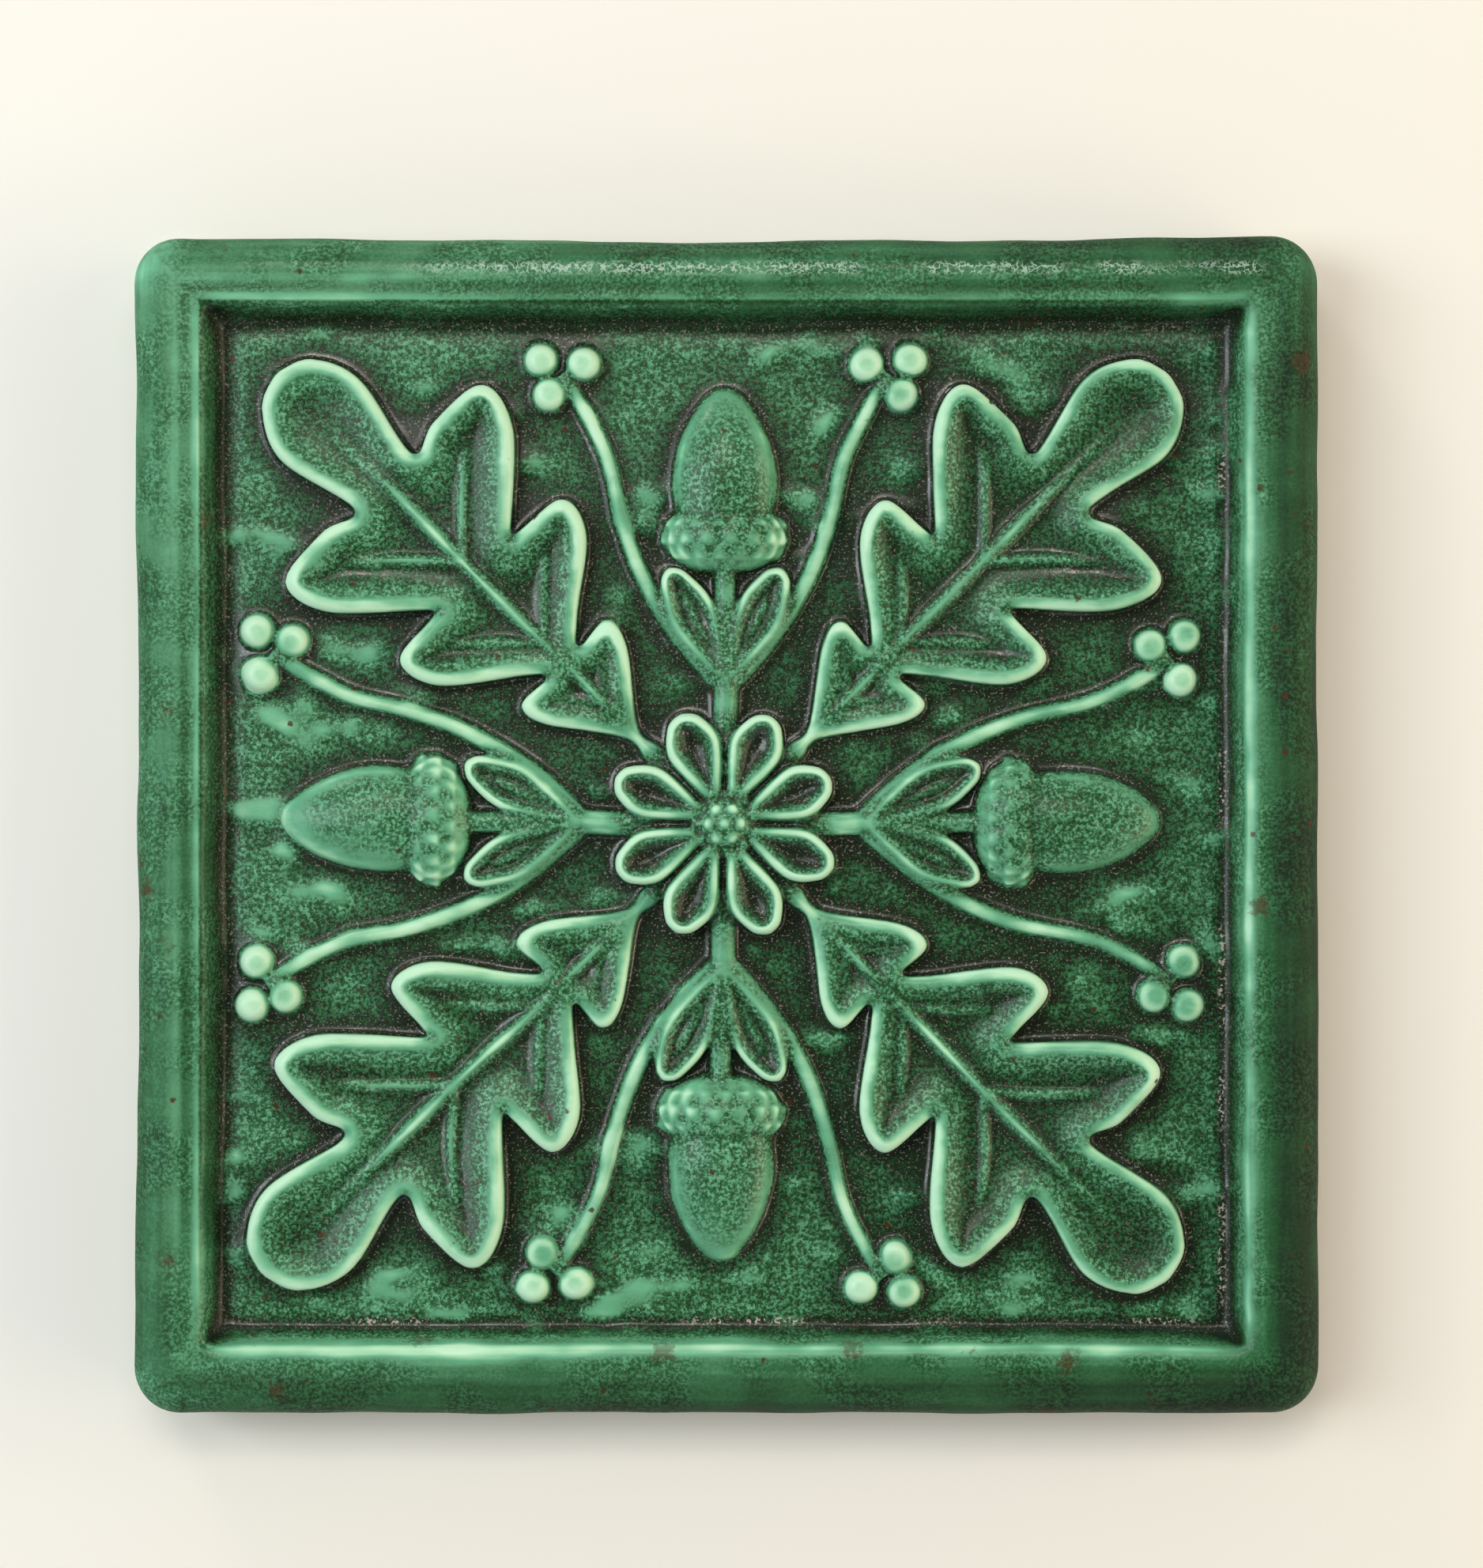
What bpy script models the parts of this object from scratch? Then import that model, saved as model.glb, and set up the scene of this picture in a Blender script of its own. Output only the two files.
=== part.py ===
# A hand-pressed stoneware art tile, fired and glazed as one piece. A raised border
# surrounds a sunk field, and the field carries a traditional fourfold ornament in relief:
# a round rosette, an oak leaf to each corner, an acorn to each side, and small leaflets,
# tendrils and berries between.
# Metres, +Z up. The tile lies on its flat back, and the origin is the middle of the back.

import math

import bmesh
import bpy
from mathutils import Matrix, Vector

# Slab
WIDTH = 0.1520
LENGTH = 0.1510
THICKNESS = 0.0150
CORNER_RADIUS = 0.0062
FOOT_ROUND = 0.0008
SIDE_TOP = 0.0098
CREST_INSET = 0.0046
BOW_LEFT = 0.0006
BOW_TOP = 0.0007

# Sunk field, which lies a little off the middle of the slab
FIELD_HALF_WIDTH = 0.0667
FIELD_HALF_LENGTH = 0.0666
FIELD_OFFSET = (-0.0002, 0.00005)
FIELD_RADIUS = 0.0016
FIELD_LEVEL = 0.0106
FIELD_GROOVE = 0.0002
LIP_LEVEL = 0.01475
HOLLOW_LEVEL = 0.01460

# Points in an outline: along each corner's arc, and between the corners
CORNER_STEPS = 5
SIDE_STEPS = 5

# Relief, measured up from the field
LEAF_TURNS = (45, 135, 225, 315)
AXIS_TURNS = (0, 90, 180, 270)

# A blade's height over the field at shares of the way from its midrib to its edge
OAK_BLADE = ((0.0, 0.0029), (0.16, 0.0017), (0.56, 0.0019), (0.84, 0.0034), (1.0, 0.0025))
LEAFLET_BLADE = ((0.0, 0.0014), (1.0, 0.0022))
PETAL_BLADE = ((0.0, 0.0020), (0.60, 0.0024), (1.0, 0.0036))

# A stalk is half its width and its length. Of an oak leaf's side lobes, each has the place where
# its vein leaves the midrib, its length, half its width, and the vein's angle in degrees. The
# end lobe goes on from the midrib. A cut is how far out the notch above a lobe lies.
OAK_LEAF = {
    "start": 0.0095, "stalk": (0.0012, 0.0075), "stalk_height": 0.62, "points": 2,
    "blade": OAK_BLADE, "buried": 0.0012, "cuts": (0.62, 0.50, 0.46),
    "lobes": ((0.0125, 0.0108, 0.0032, 44), (0.0235, 0.0190, 0.0046, 50), (0.0385, 0.0232, 0.0054, 50)),
    "end": (0.0545, 0.0185, 0.0074, 25),
}
LEAFLET = {
    "start": 0.0, "stalk": (0.0006, 0.0), "stalk_height": 1.0, "points": 2,
    "blade": LEAFLET_BLADE, "buried": 0.0010, "cuts": (),
    "lobes": (), "end": (0.0, 0.0165, 0.0031, 0),
}
PETAL = {
    "start": 0.0040, "stalk": (0.0012, 0.0), "stalk_height": 1.0, "points": 3,
    "blade": PETAL_BLADE, "buried": 0.0014, "cuts": (),
    "lobes": (), "end": (0.0, 0.0112, 0.0034, 0),
}
LEAFLET_AT = 0.0185
LEAFLET_ANGLE = 27

BERRY_RADIUS = 0.0023
BERRY_HEIGHT = 0.0026
BERRY_AT = ((0.0558, 0.0228), (0.0597, 0.0184), (0.0602, 0.0240))

# A tendril runs from the stem, past the acorn, to the berries
TENDRIL = ((0.0180, 0.0006), (0.0250, 0.0066), (0.0320, 0.0108), (0.0400, 0.0137), (0.0490, 0.0160), (0.0585, 0.0212))
TENDRIL_RADII = (0.00115, 0.00085)

ACORN_CAP_AT = 0.0375
ACORN_CAP_SIZE = (0.0052, 0.0083, 0.0043)
ACORN_NUT_AT = 0.0440
ACORN_NUT_SIZE = (0.0112, 0.0068, 0.0040)
ACORN_POINT = 0.0016
STEM_START = 0.0090
STEM_RADIUS = 0.0013

PETALS = 8
BOSS_RADIUS = 0.0050
BOSS_HEIGHT = 0.0044

GLAZE_GREEN = (0.045, 0.105, 0.055, 1.0)
GLAZE_ROUGHNESS = 0.42


def clear_scene():
    for obj in list(bpy.data.objects):
        bpy.data.objects.remove(obj, do_unlink=True)


def new_collection(name, hidden=False):
    collection = bpy.data.collections.new(name)
    bpy.context.scene.collection.children.link(collection)
    collection.hide_render = hidden
    return collection


def new_object(name, mesh, collection):
    obj = bpy.data.objects.new(name, mesh)
    collection.objects.link(obj)
    return obj


def as_cutter(obj):
    obj.hide_render = True
    obj.display_type = "WIRE"
    return obj


def glaze_material():
    material = bpy.data.materials.new("green_glaze")
    material.use_nodes = True
    shader = material.node_tree.nodes["Principled BSDF"]
    shader.inputs["Base Color"].default_value = GLAZE_GREEN
    shader.inputs["Roughness"].default_value = GLAZE_ROUGHNESS
    shader.inputs["Metallic"].default_value = 0.0
    return material


def bowed(x, y):
    """The slab's left and top sides bow inwards a little, as pressed clay does when it dries."""
    across = 2 * x / WIDTH
    along = 2 * y / LENGTH
    left_share = (1 - across) / 2
    top_share = (1 + along) / 2
    return (
        x + BOW_LEFT * (1 - along**2) * left_share,
        y - BOW_TOP * (1 - across**2) * top_share,
    )


def outline(half_width, half_length, radius, centre=(0.0, 0.0)):
    """A rounded rectangle's points, anticlockwise from the right side's middle corner arc."""
    corners = [(1, 1, 0), (-1, 1, 90), (-1, -1, 180), (1, -1, 270)]
    arcs = []
    for sign_x, sign_y, start in corners:
        arc_x = centre[0] + sign_x * (half_width - radius)
        arc_y = centre[1] + sign_y * (half_length - radius)
        turns = [math.radians(start + 90 * i / CORNER_STEPS) for i in range(CORNER_STEPS + 1)]
        arcs.append([(arc_x + radius * math.cos(t), arc_y + radius * math.sin(t)) for t in turns])
    points = []
    for arc, following in zip(arcs, arcs[1:] + arcs[:1]):
        points += arc
        (x0, y0), (x1, y1) = arc[-1], following[0]
        for i in range(1, SIDE_STEPS):
            share = i / SIDE_STEPS
            points.append((x0 + (x1 - x0) * share, y0 + (y1 - y0) * share))
    return [bowed(x, y) for x, y in points]


def slab_ring(inset, level):
    radius = max(CORNER_RADIUS - inset, 0.0018)
    return outline(WIDTH / 2 - inset, LENGTH / 2 - inset, radius), level


def field_ring(outset, level):
    radius = max(FIELD_RADIUS + outset, 0.0006)
    return outline(FIELD_HALF_WIDTH + outset, FIELD_HALF_LENGTH + outset, radius, FIELD_OFFSET), level


def slab_rings():
    """The slab's section as outlines, from the back, up the side, over the border and down to the field."""
    rings = [
        slab_ring(FOOT_ROUND, 0.0),
        slab_ring(FOOT_ROUND * 0.3, FOOT_ROUND * 0.3),
        slab_ring(0.0, FOOT_ROUND),
    ]
    bullnose_steps = 5
    for i in range(bullnose_steps + 1):
        turn = math.radians(90 * i / bullnose_steps)
        inset = CREST_INSET * (1 - math.cos(turn))
        rings.append(slab_ring(inset, SIDE_TOP + (THICKNESS - SIDE_TOP) * math.sin(turn)))
    rings += [
        field_ring(0.0025, HOLLOW_LEVEL),
        field_ring(0.0010, LIP_LEVEL),
        field_ring(0.0002, LIP_LEVEL - 0.0004),
        field_ring(-0.0015, FIELD_LEVEL + 0.0003),
        field_ring(-0.0024, FIELD_LEVEL - FIELD_GROOVE),
        field_ring(-0.0038, FIELD_LEVEL),
    ]
    return rings


def make_slab(collection):
    """One closed body, lofted through the outlines, with the flat back and the field as its caps."""
    bm = bmesh.new()
    loops = [[bm.verts.new((x, y, level)) for x, y in points] for points, level in slab_rings()]
    for lower, upper in zip(loops, loops[1:]):
        for i in range(len(lower)):
            following = (i + 1) % len(lower)
            bm.faces.new((lower[i], lower[following], upper[following], upper[i]))
    bm.faces.new(reversed(loops[0]))
    bm.faces.new(loops[-1])
    bmesh.ops.recalc_face_normals(bm, faces=bm.faces)
    mesh = bpy.data.meshes.new("relief_tile")
    bm.to_mesh(mesh)
    bm.free()
    return new_object("relief_tile", mesh, collection)


def leaf_edge_controls(leaf):
    """One side of a leaf, from stalk to tip, as (foot on the midrib, along, across)."""
    stalk_half, stalk_length = leaf["stalk"]
    controls = [(0.0, 0.0, stalk_half)]
    if stalk_length:
        controls += [(stalk_length * share, stalk_length * share, stalk_half) for share in (0.5, 1.0)]
    lobes = leaf["lobes"] + (leaf["end"],)
    for (foot, length, half, angle), following, cut in zip(lobes, lobes[1:], leaf["cuts"]):
        turn = math.radians(angle)
        vein = Vector((math.cos(turn), math.sin(turn)))
        tipwards = Vector((math.sin(turn), -math.cos(turn)))
        root = Vector((foot, 0.0))
        shoulder = vein * (length - half)
        spread = 0.16 * half
        controls.append((foot - spread, *(root + shoulder - tipwards * half * 0.9)))
        controls.append((foot, *(root + vein * length - tipwards * half * 0.1)))
        controls.append((foot + spread, *(root + shoulder + tipwards * half)))
        between = (foot + following[0]) / 2
        notch_turn = math.radians((angle + following[3]) / 2)
        depth = cut * min(length, following[1])
        notch = Vector((between + math.cos(notch_turn) * depth, math.sin(notch_turn) * depth))
        controls.append((between, *notch))
    foot, length, half, _ = leaf["end"]
    controls.append((foot + length * 0.35, foot + length * 0.55, half))
    controls.append((foot + length * 0.75, foot + length * 0.90, half * 0.62))
    controls.append((foot + length, foot + length, half * 0.08))
    return controls


def smooth_line(controls, points):
    """A Catmull-Rom line through the controls, its foot moving evenly, with so many points to each stretch."""
    line = []
    for i in range(len(controls) - 1):
        start, end = Vector(controls[i]), Vector(controls[i + 1])
        before, after = Vector(controls[max(i - 1, 0)]), Vector(controls[min(i + 2, len(controls) - 1)])
        for step in range(points):
            t = step / points
            point = 0.5 * (
                2 * start + (end - before) * t + (2 * before - 5 * start + 4 * end - after) * t**2
                + (3 * start - before - 3 * end + after) * t**3
            )
            point.x = start.x + (end.x - start.x) * t
            line.append(point)
    return line + [Vector(controls[-1])]


def make_leaf(name, leaf, placing, collection):
    """A closed solid: a grid laid out between midrib and edge, and its border drawn down into the slab.
    Where the leaf narrows, its dishing and midrib fade out, and its stalk is lower than its blade."""
    edge = smooth_line(leaf_edge_controls(leaf), leaf["points"])
    blade = leaf["blade"]
    edge_rise = blade[-1][1]
    full_width = leaf["end"][2]
    stalk_length = leaf["stalk"][1]
    columns = [(-share, rise) for share, rise in reversed(blade[1:])] + list(blade)
    bm = bmesh.new()
    bmesh.ops.create_grid(bm, x_segments=len(edge) - 1, y_segments=len(columns) - 1, size=0.5)
    for vert in bm.verts:
        foot, along, across = edge[round((vert.co.x + 0.5) * (len(edge) - 1))]
        side, rise = columns[round((vert.co.y + 0.5) * (len(columns) - 1))]
        fullness = min(across / full_width, 1.0)
        height = edge_rise + (rise - edge_rise) * fullness
        if foot <= stalk_length:
            height *= leaf["stalk_height"]
        vert.co = (
            leaf["start"] + foot + (along - foot) * abs(side),
            across * side,
            FIELD_LEVEL + height,
        )
    grown = bmesh.ops.extrude_face_region(bm, geom=bm.faces[:])
    for element in grown["geom"]:
        if isinstance(element, bmesh.types.BMVert):
            element.co.z = FIELD_LEVEL - leaf["buried"]
    bmesh.ops.recalc_face_normals(bm, faces=bm.faces)
    mesh = bpy.data.meshes.new(name)
    bm.to_mesh(mesh)
    bm.free()
    mesh.transform(placing)
    return as_cutter(new_object(name, mesh, collection))


def turned(turn):
    """The turn about the middle of the field that sets out a piece of the ornament."""
    middle = Matrix.Translation(Vector((FIELD_OFFSET[0], FIELD_OFFSET[1], 0.0)))
    return middle @ Matrix.Rotation(math.radians(turn), 4, "Z")


def make_dome(name, size, place, turn, collection, point=0.0, level=0.0, segments=14, rings=8):
    """A flattened ball set in the field, its far end drawn out to a point where one is given."""
    bm = bmesh.new()
    bmesh.ops.create_uvsphere(bm, u_segments=segments, v_segments=rings, radius=1.0)
    bmesh.ops.rotate(bm, verts=bm.verts, matrix=Matrix.Rotation(math.radians(90), 3, "Y"))
    for vert in bm.verts:
        reach = max(vert.co.x, 0.0) ** 6
        vert.co = (
            place[0] + vert.co.x * size[0] + reach * point,
            place[1] + vert.co.y * size[1],
            FIELD_LEVEL + level + vert.co.z * size[2],
        )
    mesh = bpy.data.meshes.new(name)
    bm.to_mesh(mesh)
    bm.free()
    mesh.transform(turned(turn))
    return as_cutter(new_object(name, mesh, collection))


def make_stem(name, turn, collection):
    """A straight round stem from the rosette to the acorn's cap, half sunk in the field."""
    length = ACORN_CAP_AT - STEM_START
    bm = bmesh.new()
    bmesh.ops.create_cone(
        bm, cap_ends=True, segments=10, radius1=STEM_RADIUS * 1.3, radius2=STEM_RADIUS, depth=length
    )
    bmesh.ops.rotate(bm, verts=bm.verts, matrix=Matrix.Rotation(math.radians(90), 3, "Y"))
    middle = Vector((STEM_START + length / 2, 0.0, FIELD_LEVEL + STEM_RADIUS * 0.4))
    bmesh.ops.translate(bm, verts=bm.verts, vec=middle)
    mesh = bpy.data.meshes.new(name)
    bm.to_mesh(mesh)
    bm.free()
    mesh.transform(turned(turn))
    return as_cutter(new_object(name, mesh, collection))


def make_tendril(name, side, turn, collection):
    """A thin round rod along a curve, half sunk in the field."""
    line = smooth_line([(along, along, across * side) for along, across in TENDRIL], 2)
    sides = 8
    bm = bmesh.new()
    rings = []
    for i, point in enumerate(line):
        ahead = (line[min(i + 1, len(line) - 1)] - line[max(i - 1, 0)]).yz.normalized()
        share = i / (len(line) - 1)
        radius = TENDRIL_RADII[0] + (TENDRIL_RADII[1] - TENDRIL_RADII[0]) * share
        ring = []
        for corner in range(sides):
            turned_by = 2 * math.pi * (corner + 0.5) / sides
            sideways = radius * math.cos(turned_by)
            level = FIELD_LEVEL + radius * (0.4 + math.sin(turned_by))
            ring.append(bm.verts.new((point.y - ahead.y * sideways, point.z + ahead.x * sideways, level)))
        rings.append(ring)
    for lower, upper in zip(rings, rings[1:]):
        for i in range(sides):
            following = (i + 1) % sides
            bm.faces.new((lower[i], lower[following], upper[following], upper[i]))
    bm.faces.new(rings[0])
    bm.faces.new(rings[-1])
    bmesh.ops.recalc_face_normals(bm, faces=bm.faces)
    mesh = bpy.data.meshes.new(name)
    bm.to_mesh(mesh)
    bm.free()
    mesh.transform(turned(turn))
    return as_cutter(new_object(name, mesh, collection))


def make_acorn_spray(turn, collection):
    """An acorn on its stem, and to each side a leaflet and a tendril with berries."""
    pieces = [
        make_stem(f"stem_{turn}", turn, collection),
        make_dome(f"nut_{turn}", ACORN_NUT_SIZE, (ACORN_NUT_AT, 0.0), turn, collection, ACORN_POINT),
        make_dome(f"cap_{turn}", ACORN_CAP_SIZE, (ACORN_CAP_AT, 0.0), turn, collection),
    ]
    berry_size = (BERRY_RADIUS, BERRY_RADIUS, BERRY_HEIGHT)
    for side, side_name in ((1, "left"), (-1, "right")):
        fork = Matrix.Translation(Vector((LEAFLET_AT, 0.0, 0.0)))
        placing = turned(turn) @ fork @ Matrix.Rotation(math.radians(LEAFLET_ANGLE * side), 4, "Z")
        pieces.append(make_leaf(f"leaflet_{turn}_{side_name}", LEAFLET, placing, collection))
        pieces.append(make_tendril(f"tendril_{turn}_{side_name}", side, turn, collection))
        for i, (along, across) in enumerate(BERRY_AT):
            name = f"berry_{turn}_{side_name}_{i}"
            berry_place = (along, across * side)
            pieces.append(make_dome(name, berry_size, berry_place, turn, collection, segments=8, rings=4))
    return pieces


def make_rosette(collection):
    """A round boss in a ring of dished petals."""
    boss_size = (BOSS_RADIUS, BOSS_RADIUS, BOSS_HEIGHT)
    pieces = [make_dome("boss", boss_size, (0.0, 0.0), 0.0, collection, segments=16)]
    for i in range(PETALS):
        turn = 360 * (i + 0.5) / PETALS
        pieces.append(make_leaf(f"petal_{i}", PETAL, turned(turn), collection))
    return pieces


def join_on(tile, pieces):
    """Joins the raised pieces to the slab, so that the tile stays one body."""
    for piece in pieces:
        modifier = tile.modifiers.new(f"join_{piece.name}", "BOOLEAN")
        modifier.operation = "UNION"
        modifier.solver = "EXACT"
        modifier.object = piece


def main():
    clear_scene()
    tile_collection = new_collection("relief_art_tile")
    tools_collection = new_collection("ornament_tools", hidden=True)
    tile = make_slab(tile_collection)
    tile.data.materials.append(glaze_material())
    for turn in LEAF_TURNS:
        join_on(tile, [make_leaf(f"oak_leaf_{turn}", OAK_LEAF, turned(turn), tools_collection)])
    for turn in AXIS_TURNS:
        join_on(tile, make_acorn_spray(turn, tools_collection))
    join_on(tile, make_rosette(tools_collection))


main()
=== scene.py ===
import math

import bmesh
import bpy
import numpy as np
from mathutils import Matrix, Vector


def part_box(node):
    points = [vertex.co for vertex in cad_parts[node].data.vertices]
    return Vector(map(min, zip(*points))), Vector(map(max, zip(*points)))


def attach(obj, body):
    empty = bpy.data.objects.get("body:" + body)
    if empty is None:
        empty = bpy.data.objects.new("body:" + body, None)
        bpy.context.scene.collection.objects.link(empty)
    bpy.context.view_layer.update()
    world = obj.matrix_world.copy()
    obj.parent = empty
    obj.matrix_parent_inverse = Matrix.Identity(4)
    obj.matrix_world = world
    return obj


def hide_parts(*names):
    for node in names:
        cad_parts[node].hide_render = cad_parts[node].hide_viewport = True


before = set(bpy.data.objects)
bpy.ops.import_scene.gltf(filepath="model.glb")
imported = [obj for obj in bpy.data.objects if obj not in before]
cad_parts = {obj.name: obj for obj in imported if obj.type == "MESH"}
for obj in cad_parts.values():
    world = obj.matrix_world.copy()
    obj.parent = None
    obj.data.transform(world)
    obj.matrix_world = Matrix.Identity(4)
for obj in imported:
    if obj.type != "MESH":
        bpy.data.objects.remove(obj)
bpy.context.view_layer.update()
boxLow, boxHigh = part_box("relief_tile")


class Wire:  # a socket that can be added to and multiplied, and that places the nodes it feeds
    def __init__(self, tree, socket=None):
        self.tree = tree
        self.socket = socket

    def make(self, kind, settings=None, values=None, out=None):
        node = self.tree.nodes.new(kind)
        for name, value in (settings or {}).items():
            if name == "stops":
                layStops(node.color_ramp, value)
            else:
                setattr(node, name, value)
        for name, value in (values or {}).items():
            socket = openSocket(node.inputs, name)
            if isinstance(value, Wire):
                self.tree.links.new(value.socket, socket)
            else:
                socket.default_value = value
        return Wire(self.tree, openSocket(node.outputs, out))

    def math(self, operation, first, second):
        return self.make("ShaderNodeMath", {"operation": operation}, {0: first, 1: second})

    def __add__(self, other):
        return self.math("ADD", self, other)

    def __radd__(self, other):
        return self.math("ADD", other, self)

    def __sub__(self, other):
        return self.math("SUBTRACT", self, other)

    def __rsub__(self, other):
        return self.math("SUBTRACT", other, self)

    def __mul__(self, other):
        return self.math("MULTIPLY", self, other)

    def __rmul__(self, other):
        return self.math("MULTIPLY", other, self)

    def __truediv__(self, other):
        return self.math("DIVIDE", self, other)

    def __rtruediv__(self, other):
        return self.math("DIVIDE", other, self)

    def atLeast(self, other):
        return self.math("MAXIMUM", self, other)

    def atMost(self, other):
        return self.math("MINIMUM", self, other)

    def size(self):  # without its sign
        return self.make("ShaderNodeMath", {"operation": "ABSOLUTE"}, {0: self})

    def between(self, low, high):  # a soft step from 0 at low to 1 at high
        values = {"Value": self, "From Min": low, "From Max": high}
        return self.make("ShaderNodeMapRange", {"interpolation_type": "SMOOTHSTEP"}, values)

    def tinted(self, other, share):  # this colour mixed with another by a share
        values = {"Factor": share, "A": self, "B": other}
        return self.make("ShaderNodeMix", {"data_type": "RGBA", "clamp_factor": True}, values)

    def vector(self, operation, values, out=0):
        return self.make("ShaderNodeVectorMath", {"operation": operation}, values, out)


def openSocket(sockets, name):  # the one in use of that name, because some nodes hold one for each type
    if isinstance(name, int):
        return sockets[name]
    return next(socket for socket in sockets if socket.enabled and name in (None, socket.name))


def layStops(ramp, stops):
    while len(ramp.elements) > 1:
        ramp.elements.remove(ramp.elements[-1])
    for i, (place, colour) in enumerate(stops):
        stop = ramp.elements[0] if i == 0 else ramp.elements.new(place)
        stop.position = place
        stop.color = (*colour, 1.0)


def linear(red, green, blue):  # a colour given as seen on a screen, 0 to 255
    def one(value):
        value /= 255
        return value / 12.92 if value <= 0.04045 else ((value + 0.055) / 1.055) ** 2.4
    return one(red), one(green), one(blue)


def smoothLine(controls, steps):  # a Catmull-Rom line through points or through whole rings of points
    controls = np.asarray(controls, float)
    line = []
    for i in range(len(controls) - 1):
        before, start = controls[max(i - 1, 0)], controls[i]
        end, after = controls[i + 1], controls[min(i + 2, len(controls) - 1)]
        for t in np.arange(steps) / steps:
            line.append(0.5 * (
                2 * start + (end - before) * t + (2 * before - 5 * start + 4 * end - after) * t**2
                + (3 * start - before - 3 * end + after) * t**3
            ))
    return np.array(line + [controls[-1]])


def lineDistance(points, line):  # each point's distance to the nearest stretch of an open line, in plan
    start, step = line[:-1], np.diff(line, axis=0)
    lengths = np.maximum((step**2).sum(1), 1e-12)
    nearest = np.full(len(points), 1e9)
    for a, d, length in zip(start, step, lengths):
        t = np.clip(((points - a) @ d) / length, 0, 1)
        nearest = np.minimum(nearest, np.linalg.norm(points - a - t[:, None] * d, axis=1))
    return nearest


def softStep(value, low, high):
    t = np.clip((value - low) / (high - low), 0, 1)
    return t * t * (3 - 2 * t)


def meshObject(name, points, faces, place=Matrix.Identity(4)):
    mesh = bpy.data.meshes.new(name)
    mesh.from_pydata([tuple(p) for p in points], [], faces)
    mesh.transform(place)
    bm = bmesh.new()
    bm.from_mesh(mesh)
    bmesh.ops.recalc_face_normals(bm, faces=bm.faces)
    bm.to_mesh(mesh)
    bm.free()
    obj = bpy.data.objects.new(name, mesh)
    bpy.context.scene.collection.objects.link(obj)
    return obj


def joined(name, pieces):  # several dies made one object
    bm = bmesh.new()
    for piece in pieces:
        bm.from_mesh(piece.data)
        bpy.data.objects.remove(piece, do_unlink=True)
    mesh = bpy.data.meshes.new(name)
    bm.to_mesh(mesh)
    bm.free()
    obj = bpy.data.objects.new(name, mesh)
    bpy.context.scene.collection.objects.link(obj)
    return obj


# The slab, its border and the sunk field
slab = {
    "width": 2 * boxHigh.x,
    "length": -2 * boxLow.y,
    "thickness": boxHigh.z,
    "cornerRadius": 0.0062,
    "footRound": 0.0008,
    "sideTop": 0.0098,
    "crestInset": 0.0046,
    "bowLeft": 0.0006,
    "bowTop": 0.0007,
    "cornerPoints": 14,
    "sidePoints": 48,
}
field = {
    "halfWidth": 0.0667,
    "halfLength": 0.0666,
    "offset": (-0.0002, 0.00005),
    "radius": 0.0016,
    "level": 0.0106,
}
# The border's section from the crest to the field: how far outside the field's edge, and how high
borderSection = (
    (0.0028, 0.01482), (0.0020, 0.01478), (0.0012, 0.01480), (0.0004, 0.01466), (-0.0003, 0.01395),
    (-0.0011, 0.01220), (-0.0018, 0.01085), (-0.0027, 0.01035), (-0.0044, 0.01055),
)


def bowed(points):  # the left and top sides bow inwards a little
    across, along = 2 * points[:, 0] / slab["width"], 2 * points[:, 1] / slab["length"]
    x = points[:, 0] + slab["bowLeft"] * (1 - along**2) * (1 - across) / 2
    y = points[:, 1] - slab["bowTop"] * (1 - across**2) * (1 + along) / 2
    return np.column_stack((x, y))


def roundedOutline(halfWidth, halfLength, radius, centre=(0.0, 0.0)):
    points = []
    for signX, signY, start in ((1, 1, 0), (-1, 1, 90), (-1, -1, 180), (1, -1, 270)):
        turns = np.radians(start + np.linspace(0, 90, slab["cornerPoints"] + 1))
        middle = np.array((signX * (halfWidth - radius), signY * (halfLength - radius)))
        points.append(middle + radius * np.column_stack((np.cos(turns), np.sin(turns))))
    ring = []
    for arc, following in zip(points, points[1:] + points[:1]):
        shares = np.arange(1, slab["sidePoints"])[:, None] / slab["sidePoints"]
        ring += [arc, arc[-1] + (following[0] - arc[-1]) * shares]
    return bowed(np.concatenate(ring) + np.array(centre))


def slabRing(inset, level):
    radius = max(slab["cornerRadius"] - inset, 0.0018)
    plan = roundedOutline(slab["width"] / 2 - inset, slab["length"] / 2 - inset, radius)
    return np.column_stack((plan, np.full(len(plan), level)))


def fieldRing(outset, level):
    radius = max(field["radius"] + outset, 0.0006)
    plan = roundedOutline(field["halfWidth"] + outset, field["halfLength"] + outset, radius, field["offset"])
    return np.column_stack((plan, np.full(len(plan), level)))


def makeSlab():
    foot, crest, top = slab["footRound"], slab["crestInset"], slab["sideTop"]
    rings = [slabRing(foot, 0.0), slabRing(foot * 0.3, foot * 0.3), slabRing(0.0, foot)]
    for turn in np.radians(np.linspace(0, 90, 12)):
        inset = crest * (1 - math.cos(turn))
        rings.append(slabRing(inset, top + (slab["thickness"] - top) * math.sin(turn)))
    over = [rings[-1]] + [fieldRing(outset, level) for outset, level in borderSection]
    rings += list(smoothLine(over, 4))[1:]
    count = len(rings[0])
    faces = [list(range(count))[::-1], [len(rings) * count - count + i for i in range(count)]]
    for ring in range(len(rings) - 1):
        for i in range(count):
            j = (i + 1) % count
            low, high = ring * count, (ring + 1) * count
            faces.append((low + i, low + j, high + j, high + i))
    return meshObject("slabDie", np.concatenate(rings), faces)


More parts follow.
